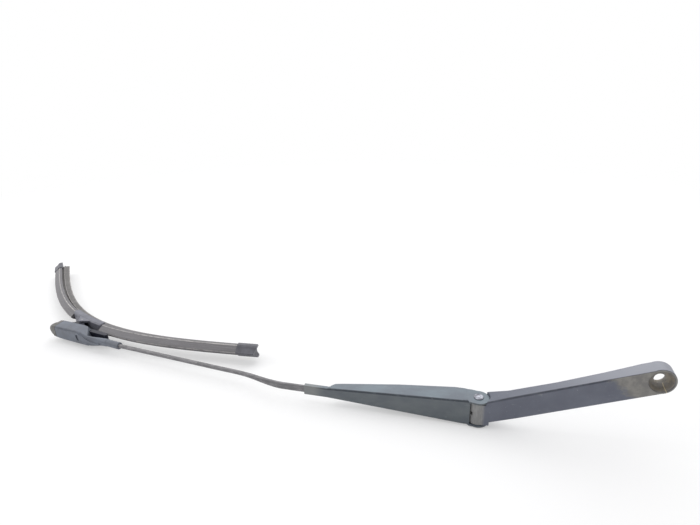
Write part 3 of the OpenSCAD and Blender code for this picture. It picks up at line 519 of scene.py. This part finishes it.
def bush_bronze():
    """Sintered bronze bush: dull brown-yellow metal."""
    mat, tree, where = start_material("sintered_bronze", 0.45, 0.9)
    colour = blend(tree, patches(tree, where, 2, 0.4, 0.6), "a98f5c", "8a7446")
    return close_material(mat, colour, where, 0.4, 0.01)


def moulded_plastic(name, base, light, roughness):
    """Moulded plastic with a fine spark-eroded grain and a bloom of dust in cloudy patches."""
    mat, tree, where = start_material(name, roughness)
    colour = blend(tree, patches(tree, where, 6, 0.4, 0.68), base, light)
    return close_material(mat, colour, where, 0.9, 0.03)


def weathered_rubber(base):
    """Extruded EPDM rubber, sun-greyed: brown-grey flanks, the lower one painted darker as shade, and pale
    lines along the base edges and the ridge, painted highlight mixed with chalky wear, broken where they
    have been wiped. All follow the length."""
    mat, tree, where = start_material("sun_greyed_rubber", 0.48)
    along = add_node(tree, "ShaderNodeUVMap", uv_map="along").outputs[0]
    share = parts_of(tree, along)[1]
    stretched = add_node(tree, "ShaderNodeMapping", {"Vector": along, "Scale": (35.0, 60.0, 1.0)})
    streak = add_node(tree, "ShaderNodeTexNoise", {"Vector": stretched.outputs[0], "Scale": 1.0,
                                                   "Detail": 5.0, "Roughness": 0.65}).outputs[0]
    colour = blend(tree, ramp(tree, streak, 0.35, 0.68), base, "737176")
    colour = tint(tree, colour, patches(tree, where, 1.3, 0.55, 0.75, 3.0), 0.25, "94928f")
    # Painted shade: the lower flank, below the ridge, is darkened as it faces away from the light.
    colour = tint(tree, colour, ramp(tree, share, 0.49, 0.44), 0.8, "47454a")
    # Pale lines on the base edges and the ridge: painted highlights where the edges catch the light, mixed
    # with chalky wear.
    colour = worn_and_lit_lines(tree, colour, share, patches(tree, where, 7, 0.32, 0.6), 0.45,
                        ((0.135, 0.03, 0.75, "b9b6b4"), (0.865, 0.03, 0.85, "c2bfbc"),
                         (0.525, 0.04, 0.6, "b4b0ae")))
    return close_material(mat, colour, where, 1.0, 0.03)


def wiping_rubber():
    """Natural rubber of the wiping lip: bloomed to a brown-grey, with pale worn lines on the lip and
    its shoulder."""
    mat, tree, where = start_material("bloomed_wiping_rubber", 0.5)
    height = parts_of(tree, add_node(tree, "ShaderNodeUVMap", uv_map="along").outputs[0])[1]
    colour = blend(tree, patches(tree, where, 8, 0.42, 0.66), "5b5958", "6f6c6c")
    colour = worn_and_lit_lines(tree, colour, height, patches(tree, where, 6, 0.3, 0.55), 0.4,
                        ((0.0, 0.09, 0.8, "b5b1af"), (0.51, 0.05, 0.8, "979391")))
    return close_material(mat, colour, where, 0.7, 0.02)


def floor_paint(base):
    """Pale matt paint. Far from the arm it shows the camera plain white, so that the floor runs into
    the background: the share of white rises from 0.4 with the distance from the arm's middle."""
    mat, tree, where = start_material("pale_floor_paint", 0.9)
    shader = found(tree, "ShaderNodeBsdfPrincipled")
    shader.inputs["Base Color"].default_value = base
    centred = add_node(tree, "ShaderNodeMapping", {"Vector": where, "Location": (0.33, -0.05, 0.0)})
    distance = add_node(tree, "ShaderNodeVectorMath", {0: centred.outputs[0]}, operation="LENGTH")
    far = maths(tree, "MAXIMUM", ramp(tree, distance.outputs["Value"], 0.5, 1.1), 0.4)
    seen = product(tree, far, add_node(tree, "ShaderNodeLightPath").outputs["Is Camera Ray"])
    white = add_node(tree, "ShaderNodeEmission", {"Color": (1.0, 1.0, 1.0, 1.0), "Strength": 1.0})
    mix = add_node(tree, "ShaderNodeMixShader", {0: seen, 1: shader.outputs[0], 2: white.outputs[0]})
    tree.links.new(mix.outputs[0], found(tree, "ShaderNodeOutputMaterial").inputs["Surface"])
    return mat


def colour_value(name, description, code):
    """A colour that the user may change, with a hex value as its default."""
    return bpy.props.FloatVectorProperty(name=name, description=description, subtype="COLOR", size=4,
                                         default=linear(code), min=0, max=1)


class WiperLook(bpy.types.PropertyGroup):
    """Values that a user may change before building."""
    edge: bpy.props.FloatProperty(name="Edge rounding", default=0.35 * MM, min=0.05 * MM, max=MM,
                                  description="Radius of the rounded edges of the head and the end caps",
                                  unit="LENGTH")
    rod_width: bpy.props.FloatProperty(name="Rod width", default=6.6 * MM, min=4.6 * MM, max=7.5 * MM,
                                       description="Width of the rod where it is flat", unit="LENGTH")
    head: colour_value("Head", "Main colour of the mounting head's paint", "5c606d")
    sheet: colour_value("Retainer", "Main colour of the retainer's paint", "565d63")
    fitting: colour_value("End fitting", "Main colour of the end fitting's paint", "62666f")
    plastic: colour_value("Adapter", "Main colour of the adapter's plastic", "12131f")
    rubber: colour_value("Spoilers", "Main colour of the spoilers' rubber", "5d5b5d")
    floor: colour_value("Floor", "Colour of the floor", "f7f7f8")


class WIPER_OT_head(bpy.types.Operator):
    """Build the mounting head and the bushes and pin in its knuckle"""
    bl_idname = "wiper.head"
    bl_label = "Mounting head"

    def execute(self, context):
        look = context.scene.wiper_look
        refined_copy("arm_head", "mounting_head", "head", [head_paint(look.head)],
                     look.edge / MM)
        bronze = bush_bronze()
        dress("hinge_bush_upper", bronze)
        dress("hinge_bush_lower", bronze)
        dress("spring_pin", dull_steel("spring_pin_steel"))
        return {"FINISHED"}


def wider_neck(spots):
    """Width about the mid-plane times 1 up to the web's end, rising smoothly to 1.22 in the neck."""
    lean = math.radians(180 - ARM_DEG)
    u = (HINGE[0] - spots[:, 0]) * math.cos(lean) + spots[:, 1] * math.sin(lean)
    moved = spots.copy()
    moved[:, 2] += (spots[:, 2] - HINGE[2]) * NECK_WIDER * ease((u - NECK_FROM) / NECK_RISE)
    return moved


class WIPER_OT_retainer(bpy.types.Operator):
    """Build the folded channel and the hinge rivet"""
    bl_idname = "wiper.retainer"
    bl_label = "Retainer"

    def execute(self, context):
        paint = sheet_paint(context.scene.wiper_look.sheet)
        refined_copy("retainer", "folded_retainer", "arm", [paint], 0.25, 34,
                     reshape=wider_neck)
        steel = dull_steel("rivet_steel", "a9abb4", "6a6b73", 0.36)
        refined_copy("hinge_rivet", "formed_rivet", "arm", [steel], 0.12, 40)
        return {"FINISHED"}


def rod_line():
    """Centre line of the rod: a smooth curve through its knots, which lie on the hooked end, on the
    joggle out to the sheet, on the straight under it, on the crank, on the straight run that falls by
    the tangent of its angle, and in the socket of the fitting."""
    def run(u):
        """The straight run at u: the crank's end lowered by the way from it times the tangent."""
        return [u, CRANK_V - (u - CRANK_END) * math.tan(math.radians(ROD_DEG))]

    a = math.radians(FITTING_DEG)
    in_socket = [SOCKET_U + SOCKET_HOLD * math.cos(a), SOCKET_V - SOCKET_HOLD * math.sin(a)]
    knots = np.array([
        [SPRING_U - 3.2, SPRING_V], [SPRING_U + 2, SPRING_V], [SPRING_U + 7, SPRING_V + 0.4],
        [SPRING_U + 17, ROD_V - 0.4], [SPRING_U + 22, ROD_V], [120, ROD_V], [150, ROD_V],
        [CRANK_U - 11, ROD_V], [CRANK_U - 5, ROD_V - 0.1], [CRANK_U, ROD_V - 0.6],
        [CRANK_U + 6, ROD_V - 1.7], [CRANK_U + 17, ROD_V - 4.4], [CRANK_END - 7, CRANK_V + 1.7],
        [CRANK_END, CRANK_V + 0.2], [CRANK_END + 7, CRANK_V - 0.9],
        run(240), run(300), run(SOCKET_U - 9), run(SOCKET_U), in_socket])
    return smooth_path(np.column_stack([knots, np.zeros(len(knots))]), 260)


class WIPER_OT_rod(bpy.types.Operator):
    """Build the rod: flat in the retainer, cranked, then round to the fitting"""
    bl_idname = "wiper.rod"
    bl_label = "Rod"

    def execute(self, context):
        flat_w = context.scene.wiper_look.rod_width / MM
        line = rod_line()
        along = headings(line)
        out = np.stack([-along[:, 1], along[:, 0], np.zeros(len(line))], -1)
        # Section: a rounded oblong, half its thickness and width times the cosine and the sine raised
        # to a low power, that turns into a circle over the crank as the power rises to 1.
        k = ease((line[:, 0] - CRANK_U + 6) / (CRANK_LEN + 12))[:, None]
        a = np.linspace(0, 2 * np.pi, 40, endpoint=False)[None]
        power = 0.42 + (1 - 0.42) * k
        thick, wide = (
            (flat + (ROUND_D - flat) * k) / 2 * np.sign(wave) * np.abs(wave) ** power
            for flat, wave in ((FLAT_T, np.cos(a)), (flat_w, np.sin(a))))
        rings = line[:, None] + thick[..., None] * out[:, None] + wide[..., None] * [0.0, 0.0, 1.0]
        add_piece("cranked_rod", from_arm(rings), carried(rings), "arm", rod_finish(), "rod")
        return {"FINISHED"}


class WIPER_OT_spring(bpy.types.Operator):
    """Build the tension spring with its hooks, and dress the link"""
    bl_idname = "wiper.spring"
    bl_label = "Hinge spring"

    def execute(self, context):
        steel = dull_steel("oiled_spring_steel", "7c7a78", "5e5b58", 0.4)
        dress("spring_link", dull_steel("link_steel", "88878a", "6b6a6c", 0.42))
        hole = from_arm([SPRING_U, SPRING_V, 0.0])
        pin = HINGE + [PIN_X, PIN_Y, 0.0]
        heading = math.degrees(math.atan2(pin[1] - hole[1], pin[0] - hole[0]))
        eye = np.linalg.norm(pin - hole) - LINK_LEN
        # Coil: a helix of whole turns and a quarter between the hooks, which lie square to each other.
        coil_len = eye - 2 * HOOK_LEN
        turns = math.floor(coil_len / COIL_PITCH) + 0.25
        a = np.linspace(0, 2 * np.pi * turns, int(turns * 22))
        coil = np.stack([HOOK_LEN + coil_len * a / a[-1], COIL_R * np.cos(a), COIL_R * np.sin(a)], -1)
        near = [[0.9, -1.9, 0], [0.2, -1.2, 0], [-0.05, 0, 0], [0.2, 1.4, 0], [1.2, 2.2, 0],
                [3, 2.3, 0], [6, 2.6, 0], [8.6, 3.35, 0.0]]
        far = [[eye - 8.6, 0, 3.35], [eye - 6, 0, 2.7], [eye - 3, 0, 2.2], [eye - 1.2, 0, 2.1],
               [eye - 0.2, 0, 1.3], [eye + 0.05, 0, 0], [eye - 0.2, 0, -1.2], [eye - 0.9, 0, -1.9]]
        rings = wire(np.concatenate([smooth_path(near, 30), coil, smooth_path(far, 30)]), WIRE_R, 10)
        add_piece("coil_spring", turned(rings, heading) + hole, carried(rings), "spring",
                  steel, "tension_spring")
        return {"FINISHED"}


def along_fitting(spots):
    """How far points lie along the fitting: their dot product with its axis from the socket's mouth."""
    return (spots - FITTING_START) @ FITTING_AXIS


def swept_shoulder(spots):
    """Moves the channel's upper near corner towards the nose, so that the neck runs up into it on a
    slope: by the sweep times a smooth rise over the height, falling to nothing along the channel."""
    along = along_fitting(spots)
    high = ease((spots[:, 2] - FITTING_START[2] - 3.2) / 3.6)
    falling = np.clip(1 - (along - FITTING_NECK - 0.2) / SHOULDER_LEN, 0, 1)
    fall = np.where(along > FITTING_NECK + 0.15, falling, 0)
    return spots + (SHOULDER_SWEEP * high * fall)[:, None] * FITTING_AXIS


class WIPER_OT_fitting(bpy.types.Operator):
    """Build the end fitting, the adapter with its nose, and the release button"""
    bl_idname = "wiper.fitting"
    bl_label = "End fitting"

    def execute(self, context):
        look = context.scene.wiper_look
        dark = moulded_plastic("navy_black_glass_filled_nylon", look.plastic, "1e2030", 0.46)
        nose = moulded_plastic("weathered_nose_plastic", "56554f", "716f70", 0.5)
        button = moulded_plastic("black_button_plastic", "2a2b35", "363844", 0.45)
        refined_copy("end_fitting", "end_fitting_shell", "arm",
                     [fitting_paint(look.fitting), nose], 0.45, 30,
                     lambda middle: int(along_fitting(middle) > NOSE_FACES), swept_shoulder)
        refined_copy("adapter", "clip_adapter", "arm", [dark, nose], 0.3, 30,
                     lambda middle: int(along_fitting(middle) > CHANNEL_END + 0.1), swept_shoulder)
        refined_copy("release_button", "release_button_cap", "button", [button], 0.2)
        return {"FINISHED"}


def fin_outline(count=64):
    """Outline of the spoiler in (height, width), and each point's share of its length: square sides, a
    shoulder, hollow flanks with a step, and a blunt fin leaning to one side. Straight lines join the
    knots, and each inner point then takes a quarter of each neighbour and half of itself."""
    knots = np.array([
        [-1.6, -6.0], [1.2, -6.0], [1.9, -5.6], [2.15, -4.7], [2.7, -4.1], [3.3, -3.7], [4.6, -2.9],
        [6.0, -2.0], [7.2, -1.0], [7.8, -0.2], [7.95, 0.6], [7.7, 1.3], [6.9, 2.0], [5.6, 2.9],
        [4.3, 3.8], [3.3, 4.4], [2.8, 4.7], [2.2, 5.2], [1.9, 5.6], [1.2, 6.0], [-1.6, 6.0]])
    t = np.concatenate([[0.0], np.cumsum(np.linalg.norm(np.diff(knots, axis=0), axis=1))])
    x = np.linspace(0, t[-1], count)
    line = np.stack([np.interp(x, t, knots[:, i]) for i in (0, 1)], -1)
    rounded = line.copy()
    rounded[1:-1] = (line[:-2] + 2 * line[1:-1] + line[2:]) / 4
    return rounded, x / t[-1]


def spoiler_section():
    """The fin's outline closed by the slot for the rails and the rubber, and each point's share."""
    outline, share = fin_outline()
    slot = np.array([[-1.48, 3.45], [-0.55, 3.45], [-0.55, 5.15], [0.55, 5.15], [0.55, 3.15], [1.7, 3.15],
                     [1.7, -3.15], [0.55, -3.15], [0.55, -5.15], [-0.55, -5.15], [-0.55, -3.45],
                     [-1.48, -3.45]])
    return np.concatenate([outline, slot]), np.concatenate([share, np.linspace(0.99, 0.01, len(slot))])


def lip_section():
    """The wiping rubber in (height, width), mirrored about its middle: head in the rails, waist,
    shoulder and lip. Its share is the height above the lip's edge over the whole height."""
    half = np.array([
        [1.5, 3.0], [0.5, 3.0], [0.5, 1.6], [-0.5, 1.6], [-0.5, 3.0], [-1.9, 3.0], [-2.15, 2.2],
        [-2.3, 0.6], [-3.6, 0.6], [-3.75, 1.7], [-3.95, 2.25], [-4.75, 2.15], [-5.2, 1.4], [-5.6, 0.9],
        [-8.0, 0.65], [-10.35, 0.4], [-10.5, 0.25]])
    section = np.concatenate([half, half[::-1] * [1, -1]])
    return section, (section[:, 0] - half[-1, 0]) / (half[0, 0] - half[-1, 0])


def blade_sweep(name, node, section, share, ends, count, slot, material, crease_deg):
    """Carries a section along the rails between two ends. Its UV map holds the length in metres and
    each point's share."""
    s = np.linspace(*ends, count)[:, None]
    rings = on_blade(s, section[None, :, 0], section[None, :, 1])
    uv = np.stack(np.broadcast_arrays(s * MM, share[None]), -1)
    add_piece(name, rings, carried(rings), "blade", material, node, crease_deg, uv)


class WIPER_OT_blade(bpy.types.Operator):
    """Build the flat blade: spoilers, wiping rubber, rails, connector, pin and end caps"""
    bl_idname = "wiper.blade"
    bl_label = "Flat blade"

    def execute(self, context):
        look = context.scene.wiper_look
        rubber = weathered_rubber(look.rubber)
        near, far = CONN_HALF + 0.3, BLADE_HALF - CAP_LEN - 0.3
        for name, node, ends in (("spoiler_towards_tip", "spoiler_tip_side", (near, far)),
                                 ("spoiler_towards_head", "spoiler_arm_side", (-far, -near))):
            blade_sweep(name, node, *spoiler_section(), ends, 90, "spoiler_rubber", rubber, 50)
        end = BLADE_HALF - 3.3
        blade_sweep("wiping_lip", "squeegee", *lip_section(), (-end, end), 180, "wiping_rubber",
                    wiping_rubber(), 40)
        rail = dull_steel("spring_steel_rail", "8d8e92", "74757a", 0.4)
        dress("rail_upper", rail)
        dress("rail_lower", rail)
        dress("blade_pivot_pin", dull_steel("pivot_pin_steel"))
        cap = moulded_plastic("dark_cap_plastic", "4a4a51", "5e5e66", 0.45)
        edge = look.edge / MM
        refined_copy("end_cap_tip", "outer_end_cap", "blade", [cap], edge, 30)
        refined_copy("end_cap_arm", "inner_end_cap", "blade", [cap], edge, 30)
        grey = moulded_plastic("matt_grey_connector", "6b6c76", "7b7c86", 0.5)
        refined_copy("blade_connector", "rail_clamp_connector", "blade", [grey], 0.4, 30)
        return {"FINISHED"}


# The stage, in metres. The camera's place, its axes and its focal length in picture widths are those
# that the photograph's perspective gives.
FLOOR_HALF = 6.0
CAMERA_PLACE = Vector((-0.150767, -0.360037, 0.225806))
CAMERA_RIGHT = Vector((0.977306, 0.209803, -0.02926))
CAMERA_UP = Vector((-0.051122, 0.367635, 0.928564))
FOCAL_WIDTHS = 510 / 700
AIM = Vector((-0.3, 0.0, -0.05))
LIGHTS = (  # Name, place, size and power in watts.
    ("ceiling_light", Vector((-0.25, 0.9, 1.5)), 2.8, 29.0),
    ("left_light", Vector((-1.6, -0.2, 0.9)), 0.9, 6.0),
)


def pale_world():
    """Even white surroundings: plain white to the camera and in reflections, dimmer as light."""
    world = bpy.data.worlds.new("pale_room")
    world.use_nodes = True
    tree = world.node_tree
    tree.nodes.clear()
    rays = add_node(tree, "ShaderNodeLightPath").outputs
    mirrored = maths(tree, "MAXIMUM", rays["Is Glossy Ray"], rays["Is Transmission Ray"])
    seen = maths(tree, "MAXIMUM", rays["Is Camera Ray"], mirrored)
    strength = add_node(tree, "ShaderNodeMapRange", {"Value": seen, "To Min": 0.58, "To Max": 1.0})
    back = add_node(tree, "ShaderNodeBackground",
                    {"Color": (1.0, 1.0, 1.0, 1.0), "Strength": strength.outputs[0]})
    add_node(tree, "ShaderNodeOutputWorld", {"Surface": back.outputs[0]})
    return world


class WIPER_OT_stage(bpy.types.Operator):
    """Build the floor, the lights and the camera"""
    bl_idname = "wiper.stage"
    bl_label = "Stage"

    def execute(self, context):
        scene = context.scene
        low, far = CAD_BOX[0][2], FLOOR_HALF
        mesh = bpy.data.meshes.new("floor")
        corners = [(-far, -far, low), (far, -far, low), (far, far, low), (-far, far, low)]
        mesh.from_pydata(corners, [], [(0, 1, 2, 3)])
        mesh.materials.append(floor_paint(scene.wiper_look.floor))
        floor = bpy.data.objects.new("floor", mesh)
        scene.collection.objects.link(floor)
        scene.world = pale_world()
        for name, place, size, power in LIGHTS:
            lamp = bpy.data.lights.new(name, "AREA")
            lamp.size = size
            lamp.energy = power
            light = bpy.data.objects.new(name, lamp)
            light.location = place
            light.rotation_euler = (AIM - place).to_track_quat("-Z", "Y").to_euler()
            scene.collection.objects.link(light)
        lens = bpy.data.cameras.new("camera")
        lens.lens = lens.sensor_width * FOCAL_WIDTHS
        lens.clip_start = 0.01
        camera = bpy.data.objects.new("camera", lens)
        axes = Matrix((CAMERA_RIGHT, CAMERA_UP, CAMERA_RIGHT.cross(CAMERA_UP))).transposed()
        camera.matrix_world = Matrix.Translation(CAMERA_PLACE) @ axes.to_4x4()
        scene.collection.objects.link(camera)
        scene.camera = camera
        scene.view_settings.view_transform = "Standard"
        return {"FINISHED"}


STEPS = (WIPER_OT_head, WIPER_OT_retainer, WIPER_OT_rod, WIPER_OT_spring, WIPER_OT_fitting,
         WIPER_OT_blade, WIPER_OT_stage)


class WIPER_PT_panel(bpy.types.Panel):
    """Lists the values and the steps that build the wiper arm"""
    bl_idname = "WIPER_PT_panel"
    bl_label = "Wiper arm"
    bl_space_type = "VIEW_3D"
    bl_region_type = "UI"
    bl_category = "Wiper arm"

    def draw(self, context):
        for name in WiperLook.__annotations__:
            self.layout.prop(context.scene.wiper_look, name)
        for step in STEPS:
            self.layout.operator(step.bl_idname)


CLASSES = (WiperLook, *STEPS, WIPER_PT_panel)


def register():
    for cls in CLASSES:
        bpy.utils.register_class(cls)
    bpy.types.Scene.wiper_look = bpy.props.PointerProperty(type=WiperLook)


def unregister():
    del bpy.types.Scene.wiper_look
    for cls in reversed(CLASSES):
        bpy.utils.unregister_class(cls)


def main():
    """Registers the add-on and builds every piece."""
    register()
    for step in STEPS:
        group, name = step.bl_idname.split(".")
        getattr(getattr(bpy.ops, group), name)()


if __name__ == "__main__":
    main()
